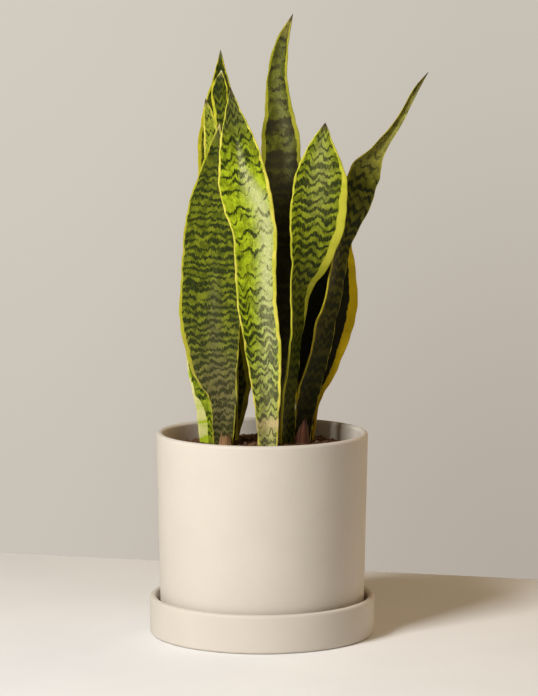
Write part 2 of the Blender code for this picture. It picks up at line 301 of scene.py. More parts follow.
def make_glaze_material():
    """Matt cream glaze: faint clouding, rare pin-sized iron specks, and a soft dimpled skin."""
    material, net, shader = new_material("cream_glaze")
    place, cloud, grain = clouding(net, 45 * MM, 1.6 * MM)
    thin, thick = ([share * part for part in GLAZE] for share in (0.975, 1.01))
    body = net.blend(cloud, thin, thick)
    body = net.blend(net.times(grain, 0.1), body, GLAZE_GRAIN)
    cells = net.node("TexVoronoi", Vector=place, Scale=260)
    near_speck = net.ramp(cells.outputs["Distance"], 0.05, 0.13, 1, 0)
    chance = net.node("SeparateColor", Color=cells.outputs["Color"]).outputs[0]
    speck = net.times(near_speck, net.ramp(chance, 0.93, 0.94))
    body = net.blend(net.times(speck, 0.35), body, IRON_SPECK)
    net.put(body, shader.inputs["Base Color"])
    net.put(net.ramp(cloud, 0, 1, 0.54, 0.62), shader.inputs["Roughness"])
    shader.inputs["Specular IOR Level"].default_value = 0.3
    net.bump(shader, 0.22, 0.6 * MM, net.times(grain, 0.35, net.times(cloud, 0.5)))
    return material


glaze = make_glaze_material()

saucer_inside = pot_radius(SAUCER_HEIGHT) + SAUCER_PLAY
saucer_outside = saucer_inside + SAUCER_WALL
saucer_lip = LIP_SHARE * SAUCER_WALL
saucer_profile = softened(
    [
        (0, 0), (saucer_outside, 0), (saucer_outside, SAUCER_HEIGHT),
        (saucer_inside, SAUCER_HEIGHT), (saucer_inside, SAUCER_FLOOR), (0, SAUCER_FLOOR),
    ],
    [0, SAUCER_FOOT_ROUND, saucer_lip, saucer_lip, SAUCER_FOOT_ROUND, 0],
)
saucer_rings = turned(stepped(saucer_profile)[1:-1])
saucer = make_mesh(
    "saucer_body", glaze, *capped(saucer_rings, (0, 0, 0), (0, 0, SAUCER_FLOOR))
)
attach(saucer, "root")
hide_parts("saucer")

pot_floor_z = POT_BASE_Z + POT_FLOOR
pot_lip = LIP_SHARE * POT_WALL
planter_profile = softened(
    [
        (DRAIN_HOLE_RADIUS, POT_BASE_Z), (POT_FOOT_RADIUS, POT_BASE_Z), (POT_RIM_RADIUS, POT_RIM_Z),
        (POT_RIM_RADIUS - POT_WALL, POT_RIM_Z), (pot_radius(pot_floor_z) - POT_WALL, pot_floor_z),
        (DRAIN_HOLE_RADIUS, pot_floor_z),
    ],
    [DRAIN_HOLE_ROUND, POT_FOOT_ROUND, pot_lip, pot_lip, POT_FOOT_ROUND, DRAIN_HOLE_ROUND],
)
planter_rings = turned(stepped(planter_profile))
planter_order = numbered(planter_rings)
planter_faces = grid_faces(np.vstack([planter_order, planter_order[:1]]))
planter = make_mesh("planter_body", glaze, planter_rings.reshape(-1, 3), planter_faces)
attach(planter, "root")
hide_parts("planter_pot")


# --------
# Potting soil. A dark peat mix fills the planter to a finger's breadth below its
# lip and rises to a low mound: soft crumbs of 1 to 4 mm, a few splinters of bark
# and root, and a rare pale grain. It is tipped in loose and closes round the leaves.
# --------
SOIL_LINE_Z = 156.3 * MM
SOIL_MOUND = 5 * MM
SOIL_GAP = 0.3 * MM
SOIL_RADIUS = pot_radius(SOIL_LINE_Z) - POT_WALL - SOIL_GAP
SOIL_BOTTOM = POT_BASE_Z + POT_FLOOR + SOIL_GAP
SOIL_COLUMNS = 400
SOIL_RINGS = 120
SOIL_SINK = 3.4 * MM
SOIL_EDGE_SINK = 1.5 * MM
LUMP_CELLS = 128
PEAT_DARK = (0.036, 0.017, 0.008)
PEAT_LIGHT = (0.15, 0.068, 0.031)
PEAT_GRAIN = (0.15, 0.076, 0.036)
PALE_BIT = (0.3, 0.21, 0.12)


def lumps(x, y, size, seed):
    """Height of a bed of round crumbs: the highest of the half balls that lie round a point.

    One ball stands in each square cell of the given size, at a seeded place in its cell and
    with a radius of 0.35 to 0.8 of the cell. A ball's height is the root of its radius
    squared less the distance squared.
    """
    table = np.random.default_rng(seed).random((3, LUMP_CELLS, LUMP_CELLS))
    column, row = np.floor(x / size).astype(int), np.floor(y / size).astype(int)
    height = np.zeros_like(x)
    for step_x in (-1, 0, 1):
        for step_y in (-1, 0, 1):
            i, j = (column + step_x) % LUMP_CELLS, (row + step_y) % LUMP_CELLS
            centre_x = (column + step_x + table[0, i, j]) * size
            centre_y = (row + step_y + table[1, i, j]) * size
            radius = size * (0.35 + 0.45 * table[2, i, j])
            away = (x - centre_x) ** 2 + (y - centre_y) ** 2
            height = np.maximum(height, np.sqrt(np.maximum(radius**2 - away, 0)))
    return height


def soil_height(x, y):
    """Height of the soil's top: the low mound, slow swells, and crumbs of three sizes."""
    distance = np.hypot(x, y)
    mound = SOIL_MOUND * (1 - (distance / SOIL_RADIUS) ** 2)
    swell = 0.9 * np.sin(x * 95 + 0.7) * np.sin(y * 80 + 2.1) + 0.6 * np.sin(x * 190 - y * 150)
    coarse = 0.75 * lumps(x, y, 4.6 * MM, 11)
    middle = 0.8 * lumps(x, y, 2.4 * MM, 12)
    fine = 0.8 * lumps(x, y, 1.1 * MM, 13)
    edge = np.clip((SOIL_RADIUS - distance) / (3 * MM), 0, 1)
    loose = swell * MM + coarse + middle + fine - SOIL_SINK
    return SOIL_LINE_Z + mound + loose * edge - SOIL_EDGE_SINK * (1 - edge)


soil_sides = [
    (0.45 * SOIL_RADIUS, SOIL_BOTTOM),
    (SOIL_RADIUS - 5 * MM, SOIL_BOTTOM),
    (pot_radius(SOIL_BOTTOM) - POT_WALL - 1.2 * MM, SOIL_BOTTOM + 2.8 * MM),
]
soil_sides += [(pot_radius(z) - POT_WALL - SOIL_GAP, z) for z in (0.05, 0.1, 0.14)]
soil_top = np.linspace(SOIL_RADIUS, 0, SOIL_RINGS, endpoint=False)
soil_side_rings = turned(np.array(soil_sides), SOIL_COLUMNS, 0)
soil_top_rings = turned(np.stack([soil_top, 0 * soil_top], axis=1), SOIL_COLUMNS, 0)
soil_top_rings[..., 2] = soil_height(soil_top_rings[..., 0], soil_top_rings[..., 1])
soil_peak = (0, 0, float(soil_height(np.zeros(1), np.zeros(1))[0]))
soil_rings = np.concatenate([soil_side_rings, soil_top_rings])


def make_soil_material():
    """Damp peat: near-black brown clouded with redder brown and a redder grain, dull, with a crumbly
    bump.
    """
    material, net, shader = new_material("damp_peat")
    _, cloud, grain = clouding(net, 8 * MM, 0.9 * MM)
    body = net.blend(cloud, PEAT_DARK, PEAT_LIGHT)
    body = net.blend(net.times(grain, 0.5), body, PEAT_GRAIN)
    body = net.blend(net.read("crumb_tone")[0], body, PALE_BIT)
    net.put(body, shader.inputs["Base Color"])
    net.put(net.ramp(grain, 0, 1, 0.98, 0.78), shader.inputs["Roughness"])
    shader.inputs["Specular IOR Level"].default_value = 0.25
    net.bump(shader, 0.5, 0.5 * MM, grain)
    return material


def scattered(count, sizes, stretch, paleness, seed):
    """Loose bits on the soil: points, quads, triangles and a paleness for every point.

    Every bit is a small ball of six columns and three rings, with each of its points pushed
    in or out by a seeded share, stretched, turned by three seeded angles and set down on the
    soil's top at a seeded place.
    """
    draw = np.random.default_rng(seed)
    around = np.linspace(0, 2 * math.pi, 6, endpoint=False)
    down = np.linspace(-0.5 * math.pi, 0.5 * math.pi, 5)[1:-1, None]
    ball_rings = np.stack(
        [np.cos(down) * np.cos(around), np.cos(down) * np.sin(around), np.sin(down) + 0 * around],
        axis=2,
    )
    ball, quads, triangles = capped(ball_rings, (0, 0, -1), (0, 0, 1))
    points = ball[None] * (0.75 + 0.5 * draw.random((count, len(ball), 1)))
    low, high = sizes
    size = low + (high - low) * draw.random((count, 1, 1)) ** 2.5
    points = points * size * 0.5 * np.array(stretch)
    tilt = (draw.random((count, 2)) - 0.5) * 0.9
    heading = draw.random(count) * 2 * math.pi
    for first, second, angle in ((1, 2, tilt[:, 0]), (0, 2, tilt[:, 1]), (0, 1, heading)):
        cosine, sine = np.cos(angle)[:, None], np.sin(angle)[:, None]
        a, b = points[:, :, first].copy(), points[:, :, second].copy()
        points[:, :, first] = a * cosine - b * sine
        points[:, :, second] = a * sine + b * cosine
    away = (SOIL_RADIUS - 3 * MM) * np.sqrt(draw.random(count))
    bearing = draw.random(count) * 2 * math.pi
    x, y = away * np.cos(bearing), away * np.sin(bearing)
    seat = soil_height(x, y) + 0.22 * size[:, 0, 0] * stretch[2]
    points = points + np.stack([x, y, seat], axis=1)[:, None]
    offset = len(ball) * np.arange(count)[:, None, None]
    tone = np.repeat(paleness * draw.random(count) ** 3, len(ball))
    return (
        points.reshape(-1, 3),
        (quads[None] + offset).reshape(-1, 4),
        (triangles[None] + offset).reshape(-1, 3),
        {"crumb_tone": np.stack([tone, tone, tone], axis=1)},
    )


peat = make_soil_material()
soil_solid = capped(soil_rings, (0, 0, SOIL_BOTTOM), soil_peak)
soil = make_mesh("soil_bed", peat, *soil_solid, {"crumb_tone": np.zeros((len(soil_solid[0]), 3))})
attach(soil, "root")
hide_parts("potting_soil")

for bits_name, bits in (
    ("soil_crumbs", scattered(900, (0.9 * MM, 4.2 * MM), (1, 0.85, 0.7), 0.22, 21)),
    ("soil_splinters", scattered(60, (4 * MM, 13 * MM), (1, 0.1, 0.07), 0.9, 22)),
    ("soil_grains", scattered(26, (0.8 * MM, 2 * MM), (1, 0.9, 0.8), 2.4, 23)),
):
    loose = make_mesh(bits_name, peat, *bits)
    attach(loose, "root")


# --------
# How every leaf is made. A leaf is one thick waxy blade that comes up out of the
# soil as a narrow channelled sheath, widens, and ends in a dry spine. It is drawn
# as crescent sections carried up a curved midrib, with a faintly rippled margin.
# Its skin shows dark cross bands with feathered edges on lighter green, a painted
# sheen in places (a milky pale tone where the lamp would gleam on the wax), deeper green
# that is partly the leaf's own and partly painted shade, fine veins, and a cream to
# yellow margin with no bands in it.
# --------
BLADE_THICKNESS = 2.6 * MM
SHEATH_THICKNESS = 4.6 * MM
SHEATH_FADE = 55 * MM
TIP_THICKNESS_SHARE = 0.9
BLADE_ROWS = 300
BLADE_COLUMNS = 48
CREST_ANGLE = 9.42
MARGIN_WANDER = 3.5 * MM


def along_stations(stations, heights):
    """The stations' columns at any heights, by a cubic that never overshoots a station.

    Between two stations each column follows the cubic Hermite curve whose slope at an inner
    station is the harmonic mean of the slopes before and after it, or 0 at a turning point.
    """
    table = np.array(stations, dtype=float)
    knots, values = table[:, 0], table[:, 1:]
    steps = np.diff(knots)[:, None]
    chords = np.diff(values, axis=0) / steps
    before, after = chords[:-1], chords[1:]
    same_way = before * after > 0
    total = np.where(same_way, before + after, 1)
    inner = np.where(same_way, 2 * before * after / total, 0)
    slopes = np.vstack([chords[:1], inner, chords[-1:]])
    heights = np.clip(heights, knots[0], knots[-1])
    cell = np.clip(np.searchsorted(knots, heights, side="right") - 1, 0, len(knots) - 2)
    width = steps[cell]
    share = (heights - knots[cell])[:, None] / width
    rise = values[cell + 1] - values[cell]
    start, end = slopes[cell] * width, slopes[cell + 1] * width
    bend = share * share * (3 - 2 * share)
    ease_in = share * (1 - share) ** 2
    ease_out = share * share * (share - 1)
    return values[cell] + rise * bend + start * ease_in + end * ease_out


def drift(place, length, seed):
    """Slow wandering between about -1 and 1 along a line: four seeded sines about one length."""
    draw = np.random.default_rng(seed)
    total = np.zeros_like(place)
    for step in range(4):
        turn = 2 * math.pi * (place / (length * (0.55 + 0.4 * step)) + draw.random())
        total = total + np.sin(turn) / 2.4
    return total


def blade_surface(stations, heights, thickness, sheath, fold, ripple, seed):
    """Points of a blade, as rows up the midrib and columns round the section.

    Round a section the angle a runs from the left margin over the face to the right margin
    and back behind. A point lies across the blade by minus the half width times the cosine
    of a, and out of it by the half thickness times the sine of a to the power 0.6, which
    keeps the margin blunt. The whole section is bowed by the channel's depth times the
    share across to the power fold, so a low power gives a crease and 2 a round channel.
    heights may differ from column to column.
    """
    rows, columns = heights.shape
    flat = heights.ravel()
    ends = (stations[0][0], stations[-1][0])
    values = along_stations(stations, flat)
    run = along_stations(stations, flat + 0.5) - along_stations(stations, flat - 0.5)
    rise = np.clip(flat + 0.5, *ends) - np.clip(flat - 0.5, *ends)
    centre = np.column_stack([values[:, 0], values[:, 1], flat]) * MM
    along = np.column_stack([run[:, 0], run[:, 1], rise])
    along /= np.linalg.norm(along, axis=1)[:, None]
    turn = np.radians(values[:, 3])
    across = np.column_stack([np.cos(turn), np.sin(turn), np.zeros_like(turn)])
    across -= along * np.sum(across * along, axis=1)[:, None]
    across /= np.linalg.norm(across, axis=1)[:, None]
    facing = np.cross(across, along)
    angle = np.tile(np.linspace(0, 2 * math.pi, columns, endpoint=False), (rows, 1)).ravel()
    share = -np.cos(angle)
    half_width = values[:, 2] * MM
    fade = np.exp(-np.maximum(flat * MM, 0) / SHEATH_FADE)
    thick = np.minimum(thickness + (sheath - thickness) * fade, TIP_THICKNESS_SHARE * half_width)
    skin = 0.5 * thick * np.sign(np.sin(angle)) * np.abs(np.sin(angle)) ** 0.6
    near_edge = np.clip(np.abs(share), 0, 1) ** 4
    left_side = share < 0
    calm = np.clip(half_width / (8 * MM), 0, 1)
    edge_drift = np.where(left_side, drift(flat, 21, seed), drift(flat, 24, seed + 1))
    edge_wave = np.where(left_side, drift(flat, 34, seed + 2), drift(flat, 30, seed + 3))
    sideways = half_width * share + share * near_edge * calm * edge_drift * 0.35 * ripple * MM
    bow_shape = np.abs(share) ** fold - 1 / (1 + fold)
    bow = values[:, 4] * MM * bow_shape + near_edge * calm * edge_wave * 0.6 * ripple * MM
    place = centre + across * sideways[:, None] + facing * (bow + skin)[:, None]
    place[:, 2] += SOIL_LINE_Z
    shape = (rows, columns)
    return place.reshape(*shape, 3), share.reshape(shape), half_width.reshape(shape)


def make_blade(name, material, grid, shades):
    """The mesh of a blade whose first and last rows are pinched flat, front onto back.

    In those two rows a column behind the blade uses the vertex of the column in front of it,
    so both ends are closed without a cap.
    """
    here = numbered(grid)
    order = np.arange(here.shape[1])
    front = np.minimum(order, len(order) - order) % len(order)
    here[0], here[-1] = here[0][front], here[-1][front]
    kept, quads = np.unique(grid_faces(here), return_inverse=True)
    shades = {key: value.reshape(-1, 3)[kept] for key, value in shades.items()}
    return make_mesh(name, material, grid.reshape(-1, 3)[kept], quads.reshape(-1, 4), None, shades)


def streaks(net, given, across_rate, up_rate, shift=0, up=None, **look):
    """Noise with its own rates across and up a blade, moved on by the seed and a shift."""
    parts = (
        net.times(given["Across"], across_rate),
        net.times(given["Up"] if up is None else up, up_rate),
        net.sum("ADD", given["Seed"], shift),
    )
    return net.noise(net.in_order("CombineXYZ", parts), **look)


def make_bands_group():
    """Cross bands of a leaf: dark where noise on a wavy measure up the blade is high.

    The measure is the height less a wave across the blade, plus a slow and a quick wander and
    a fine feathering that runs along the veins. A sine of the measure and stretched noise on
    it are added, a soft step of the sum gives the band, and strokes along the veins thin it.
    """
    group, net, given, made = new_group(
        "cross_bands",
        "Across, Up, Share, Spacing, Regular, Wave, Feather, Cover, Seed",
        "Band, Mottle, Patch",
    )

    def wander(across_rate, up_rate, shift, detail):
        """Streaked noise about 0."""
        noise = streaks(net, given, across_rate, up_rate, shift, detail=detail)
        return net.sum("SUBTRACT", noise, 0.5)

    crests = net.sum("COSINE", net.times(given["Share"], CREST_ANGLE))
    uneven_wave = net.times(wander(30, 60, 1, 1), 2.4, 0.9)
    wave = net.times(net.times(crests, given["Wave"]), uneven_wave)
    measure = net.sum("SUBTRACT", given["Up"], wave)
    feather = given["Feather"]
    for reach, *rates in (
        (9 * MM, 80, 40, 2, 2), (6.5 * MM, 260, 120, 3, 2),
        (feather, 620, 90, 4, 1), (feather, 1700, 150, 5, 1),
    ):
        measure = net.times(wander(*rates), reach, measure)
    pitch = net.sum("DIVIDE", measure, given["Spacing"])
    ripple = net.sum("SINE", net.times(pitch, 2 * math.pi))
    uneven = streaks(net, given, 60, 0.85, 7, pitch, detail=4, roughness=0.62)
    tone = net.times(ripple, given["Regular"], uneven)
    tone = net.times(net.sum("SUBTRACT", given["Cover"], 0.5), 0.5, tone)
    strokes = net.ramp(wander(950, 140, 8, 2), -0.16, 0.04, 0.7, 1)
    net.put(net.times(net.ramp(tone, 0.48, 0.58), strokes), made["Band"])
    net.put(net.ramp(wander(1100, 420, 11, 2), -0.12, 0.12), made["Mottle"])
    net.put(net.ramp(wander(190, 120, 13, 3), -0.12, 0.12), made["Patch"])
    return group


def make_margin_group():
    """The yellow margin: 1 outside its inner border, which wanders and follows the veins."""
    group, net, given, made = new_group(
        "leaf_margin", "Inside, Across, Up, Wander, Seed", "Margin, Lime, Line"
    )
    slow = net.sum("SUBTRACT", streaks(net, given, 40, 130), 0.5)
    fine = net.sum("SUBTRACT", streaks(net, given, 2600, 55, 5, detail=1), 0.5)
    border = net.times(slow, given["Wander"], given["Inside"])
    border = net.times(fine, 0.9 * MM, border)
    lime = streaks(net, given, 40, 130, scale=0.6, detail=3)
    net.put(net.ramp(border, -0.15 * MM, 0.3 * MM, 1, 0), made["Margin"])
    net.put(net.ramp(lime, 0.45, 0.62), made["Lime"])
    net.put(net.ramp(net.sum("ABSOLUTE", border), 0, 0.7 * MM, 1, 0), made["Line"])
    return group


def make_veins_group():
    """Fine veins along the blade: a mask for colour and a height for the bump."""
    group, net, given, made = new_group("leaf_veins", "Across, Up, Seed", "Vein, Height")
    lines = streaks(net, given, 1100, 9)
    pores = streaks(net, given, 2600, 1300, detail=1)
    net.put(net.ramp(lines, 0.4, 0.62), made["Vein"])
    net.put(net.times(pores, 0.35, lines), made["Height"])
    return group


bands_group = make_bands_group()
margin_group = make_margin_group()
veins_group = make_veins_group()


def make_leaf_material(name, look, seed):
    """The skin of one leaf, from its own colours and the masks of the three leaf groups.

    Attributes of the mesh say where a point is: leaf_place is across, up and the distance
    left before the margin begins; leaf_tint is how dark, how much painted sheen and how dry
    it is there, the dark being partly the leaf's own deep green and partly painted shade;
    leaf_share is the share across, the distance from the tip and how dense the bands are.
    """
    material, net, shader = new_material(name)
    across, up, inside = net.read("leaf_place")
    dark, sheen_share, dry = net.read("leaf_tint")
    share, from_tip, cover = net.read("leaf_share")
    place = {"Across": across, "Up": up}
    lengths = {title.title(): look[title] * MM for title in ("spacing", "wave", "feather")}
    bands = net.use(
        bands_group, Share=share, Cover=cover, Seed=seed, Regular=look["regular"], **place, **lengths
    )
    edges = net.use(margin_group, Inside=inside, Wander=MARGIN_WANDER, Seed=seed + 20, **place)
    veins = net.use(veins_group, Seed=seed + 40, **place)
    band, mottle, vein, margin = bands["Band"], bands["Mottle"], veins["Vein"], edges["Margin"]

    # Painted sheen: the share of the lamp's milky gleam on the wax, thinned where mottled.
    sheen_mask = net.times(sheen_share, net.ramp(mottle, 0, 1, 1, 0.6))
    scarred = net.times(dry, net.ramp(mottle, 0, 1, 1, 0.65))
    lime = net.times(edges["Lime"], look["lime_share"])
    edge = net.blend(lime, look["margin"], look["margin_green"])
    reach = look["spine_reach"] * MM
    spine = net.ramp(from_tip, 0.2 * reach, reach, 1, 0)
    skin = look["green"]
    for amount, colour in (
        (bands["Patch"], look["light_green"]),
        (net.times(mottle, 0.22), look["dark_green"]),
        (net.times(vein, 0.18), look["dark_green"]),
        # Partly painted shade: the dark share turns the skin deep green, both where that is the leaf's
        # own tone and where the leaf stands in shade low in the tuft or behind others.
        (dark, look["deep_green"]),
        (band, look["dark_green"]),
        # Painted sheen: the milky pale colour of the lamp's gleam, weaker on the bands.
        (net.times(sheen_mask, net.ramp(band, 0, 1, 1, 0.4)), look["wax"]),
        (net.times(edges["Line"], 0.35), look["light_green"]),
        (margin, net.blend(net.times(vein, 0.14), edge, look["margin_green"])),
        (net.times(scarred, net.ramp(band, 0, 1, 1, 0.25)), look["dry"]),
        (spine, look["spine"]),
    ):
        skin = net.blend(amount, skin, colour)
    net.put(skin, shader.inputs["Base Color"])

    rough = net.times(margin, 0.1, net.ramp(mottle, 0, 1, 0.38, 0.48))
    rough = net.times(net.sum("MAXIMUM", dry, spine), 0.25, rough)
    net.put(rough, shader.inputs["Roughness"])
    shader.inputs["Specular IOR Level"].default_value = 0.08
    net.bump(shader, 0.32, 0.5 * MM, veins["Height"])
    return material


# The usual leaf colours. The pale grey-green one is painted sheen, and the deep green stands partly
# for painted shade.
USUAL_LOOK = dict(
    green=(0.15, 0.17, 0.004), light_green=(0.27, 0.31, 0.012), dark_green=(0.017, 0.025, 0.004),
    deep_green=(0.034, 0.044, 0.004), wax=(0.42, 0.44, 0.17), margin=(0.66, 0.6, 0.09),
    margin_green=(0.36, 0.4, 0.018), dry=(0.3, 0.19, 0.08), spine=(0.06, 0.045, 0.02),
    spine_reach=9, lime_share=0.6, spacing=7, regular=0.13, wave=1.8, feather=3.2,
)
# No painted sheen anywhere on the leaf.
NO_PAINTED_SHEEN = [(-30, 0, 0, 1.5), (400, 0, 0, 1.5)]


def make_leaf(name, stations, looks, seed, painted_sheen=NO_PAINTED_SHEEN, fold=2, **own_look):
    """One leaf with its own skin, in place of the CAD leaf of the same name.

    stations are (height, midrib x, midrib y, half width, facing turn, channel depth) in mm
    and degrees. looks are (height, left margin, right margin, dark, dry, band cover), where
    dark is partly the leaf's own deep green and partly painted shade. The sheen table is
    (height, strength, share across of its middle, half width as a share) of the painted
    sheen, a milky pale tone where the lamp would gleam on the wax. Each table has heights
    of its own: heights and margins in mm, and the rest shares. The painted sheen fades from
    its middle as a bell curve. own_look changes some of the usual look: colours, lengths in
    mm (spacing, wave, feather, spine_reach) and shares (regular, lime_share).
    """
    low, high = stations[0][0], stations[-1][0]
    crowded = 1 - (1 - np.linspace(0, 1, BLADE_ROWS)) ** 1.35
    heights = np.tile((low + (high - low) * crowded)[:, None], (1, BLADE_COLUMNS))
    grid, share, half_width = blade_surface(
        stations, heights, BLADE_THICKNESS, SHEATH_THICKNESS, fold, 1, seed
    )

    def columns(table):
        """The table's columns at every point of the blade."""
        return along_stations(table, heights.ravel()).reshape(*heights.shape, -1).transpose(2, 0, 1)

    left, right, dark, dry, cover = columns(looks)
    strength, middle, spread = columns(painted_sheen)
    # Painted sheen: a bell curve across the blade of how much milky gleam is put into the colour.
    sheen_share = strength * np.exp(-(((share - middle) / spread) ** 2))
    blend = np.clip(0.5 + share * 4, 0, 1)
    inside = half_width * (1 - np.abs(share)) - (left + (right - left) * blend) * MM
    shades = {
        "leaf_place": np.stack([half_width * share, heights * MM, inside], axis=2),
        "leaf_tint": np.stack([dark, sheen_share, dry], axis=2),
        "leaf_share": np.stack([share, (high - heights) * MM, cover], axis=2),
    }
    skin = make_leaf_material(name + "_skin", {**USUAL_LOOK, **own_look}, float(seed))
    leaf = make_blade(name + "_blade", skin, grid, shades)
    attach(leaf, "root")
    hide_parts(name)


# --------
# Front centre leaf, the tallest in front. It is folded along its midrib, so its
# left half catches the light as vivid green with feathered chevrons, and its right
# half is painted milky pale as the lamp's sheen on it. Yellow margins, and a tan scar
# just above the soil.
# --------
make_leaf("leaf_front_centre", stations=[
    (-22, 6, -15, 7, 0, 3), (5, 5, -19, 8, 0, 3.5), (43, 4, -24, 11, 0, 4), (85, 1, -28, 14.8, 2, 4),
    (135, -5, -31, 16.6, 4, 3.5), (181, -6, -33, 18, 4, 3.2), (218, -14, -34, 20.8, 0, 3),
    (251, -19, -34, 16.5, 0, 2.5), (278, -23, -33, 8.5, 0, 1.6), (303, -26, -32, 0.15, 0, 0.1),
], looks=[
    (-22, 0.9, 1, 0.1, 0.35, 0.48), (8, 0.9, 1.1, 0.08, 0.3, 0.52), (17, 0.9, 1.3, 0.05, 0.45, 0.52),
    (24, 0.9, 1.4, 0, 0.85, 0.34), (33, 0.9, 1.6, 0, 0.15, 0.55), (80, 1.1, 2.4, 0.1, 0.02, 0.62),
    (120, 1.2, 2.8, 0.1, 0, 0.52), (165, 1.3, 3, 0, 0, 0.42), (205, 1.3, 2.8, 0, 0, 0.4),
    (240, 1.2, 2.2, 0.15, 0, 0.52), (258, 1, 1.3, 0.5, 0, 0.6), (275, 0.8, 0.8, 0.78, 0.05, 0.6),
    (303, 0.5, 0.5, 0.88, 0.1, 0.6),
], painted_sheen=[
    (-22, 0.5, 0.1, 0.9), (60, 0.48, 0.2, 0.8), (100, 0.72, 0.48, 0.5), (165, 0.98, 0.56, 0.4),
    (205, 0.95, 0.48, 0.38), (225, 0.85, 0.2, 0.24), (240, 0.9, 0.05, 0.13), (254, 0.6, 0.02, 0.09),
    (264, 0.05, 0, 0.08), (303, 0, 0, 0.12),
],
    seed=1, fold=1.5, wave=-2.4, regular=0.09, feather=3.6, green=(0.25, 0.32, 0.006),
    light_green=(0.46, 0.59, 0.016), wax=(0.56, 0.58, 0.29), dry=(0.7, 0.53, 0.3))


# --------
# Front left leaf, the broadest. Dense wavy bands all the way up, a greyer strip
# along the middle that is painted sheen, brownish mottling low down where the sheath
# rubbed it, and a cream-yellow left margin. Its tip is a dry cream point.
# --------
make_leaf("leaf_front_left", stations=[
    (-22, -31, -7, 7.5, -10, 3), (3, -32, -10, 8.5, -10, 3.2), (41, -32, -12, 11.6, -10, 3.6),
    (75, -40, -15, 21, -10, 3.4), (116, -43, -18, 26, -10, 3), (162, -41, -20, 25.6, -10, 2.6),
    (201, -41, -21, 21, -10, 2.4), (231, -39, -21, 13.1, -10, 2), (255, -37, -20, 5.9, -10, 1.2),
    (273, -35, -19, 0.15, -10, 0.1),
], looks=[
    (-22, 0.8, 0.9, 0.7, 0.15, 0.62), (8, 0.8, 0.9, 0.55, 0.25, 0.66), (30, 0.8, 0.9, 0.4, 0.45, 0.62),
    (60, 1.6, 0.9, 0.25, 0.4, 0.58), (85, 3.6, 0.6, 0.12, 0.14, 0.58),
    (130, 1.9, 0.5, 0.05, 0.02, 0.56), (180, 1.3, 0.5, 0.05, 0, 0.54), (225, 1.2, 0.6, 0.2, 0, 0.46),
    (255, 1, 0.8, 0.35, 0, 0.42), (273, 0.8, 0.8, 0.3, 0.5, 0.4),
], painted_sheen=[
    (-22, 0.1, 0, 0.8), (50, 0.2, 0, 0.6), (78, 0.55, 0.1, 0.28), (125, 0.62, 0.12, 0.2),
    (150, 0.25, 0.1, 0.14), (185, 0, 0.05, 0.12), (273, 0, 0, 0.25),
],
    seed=2, wave=0.9, spacing=6, green=(0.086, 0.108, 0.003), light_green=(0.2, 0.234, 0.01),
    deep_green=(0.026, 0.03, 0.006), wax=(0.11, 0.105, 0.055), margin=(0.36, 0.33, 0.025),
    dry=(0.25, 0.185, 0.11), spine=(0.45, 0.36, 0.18), spine_reach=6)


# --------
# Short leaf at the far left: a young offset that leans out over the lip. Its left
# margin is nearly half of it, cream-white with lime patches, beside a dark strip.
# --------
make_leaf("leaf_short_left", stations=[
    (-22, -42, 2, 7, -25, 3), (4, -44, 2, 8.2, -25, 3.2), (34, -45, 3, 10.8, -25, 3),
    (56, -49, 5, 12, -25, 2.6), (79, -55, 6, 9.4, -25, 2), (94, -58, 7, 4.8, -25, 1),
    (104, -60, 7, 0.15, -25, 0.1),
], looks=[
    (-22, 9, 0.6, 0.3, 0, 0.45), (20, 8.6, 0.6, 0.3, 0, 0.45), (36, 6, 0.6, 0.2, 0, 0.45),
    (48, 2.2, 0.6, 0.2, 0, 0.48), (75, 1.4, 0.6, 0.2, 0, 0.46), (104, 0.9, 0.6, 0.2, 0.3, 0.5),
],
    seed=3, green=(0.2, 0.26, 0.006), light_green=(0.36, 0.46, 0.016), margin=(0.6, 0.58, 0.23),
    margin_green=(0.34, 0.44, 0.016), lime_share=2.2)


# --------
# Slender leaf at the left: narrow and bright green, mostly hidden between its
# neighbours, with a light margin and a dark tip.
# --------
make_leaf("leaf_slender_left", stations=[
    (-22, -31, 5, 5, 0, 2), (1, -32, 6, 5.4, 0, 2.2), (60, -33, 6, 7.6, -4, 2.4),
    (125, -34, 5, 9, -6, 2.2), (209, -39, 3, 9, -8, 2), (261, -42, 1, 6.2, -8, 1.6),
    (282, -45, 0, 3.7, -8, 1), (293, -47, 0, 0.15, -8, 0.1),
], looks=[
    (-22, 1, 1, 0.6, 0.1, 0.5), (150, 1.2, 1.2, 0.1, 0, 0.45), (250, 1.5, 1.1, 0, 0, 0.42),
    (293, 0.9, 0.9, 0.3, 0.2, 0.4),
],
    seed=4, spacing=6, green=(0.22, 0.27, 0.01), light_green=(0.4, 0.47, 0.03))


# --------
# Folded leaf at the left: the blade is closed up like a book, so its two yellow
# margins run side by side on the left. It darkens upwards to a tiny whitish tip.
# --------
make_leaf("leaf_folded_left", stations=[
    (-22, -25, 12, 5.6, -20, 2.6), (0, -26, 12, 6.2, -25, 3), (60, -26, 13, 8.4, -35, 3.4),
    (124, -26, 15, 9.8, -40, 3.6), (208, -29, 17, 10, -40, 4), (276, -32, 18, 9, -40, 4.4),
    (300, -34, 18, 8.2, -38, 4), (316, -34, 18, 0.5, -35, 0.1),
], looks=[
    (-22, 1.2, 1, 0.6, 0.1, 0.5), (200, 2.2, 1.4, 0.2, 0, 0.48), (275, 2.4, 1.5, 0.25, 0, 0.5),
    (292, 1.9, 0.8, 0.5, 0, 0.52), (304, 1, 0.4, 0.75, 0, 0.52), (316, 0.4, 0.3, 0.85, 0.2, 0.5),
],
    seed=5, fold=1.6, green=(0.13, 0.15, 0.004), light_green=(0.22, 0.25, 0.01),
    margin=(0.5, 0.47, 0.03), dry=(0.52, 0.45, 0.27), spine=(0.42, 0.38, 0.24), spine_reach=3)
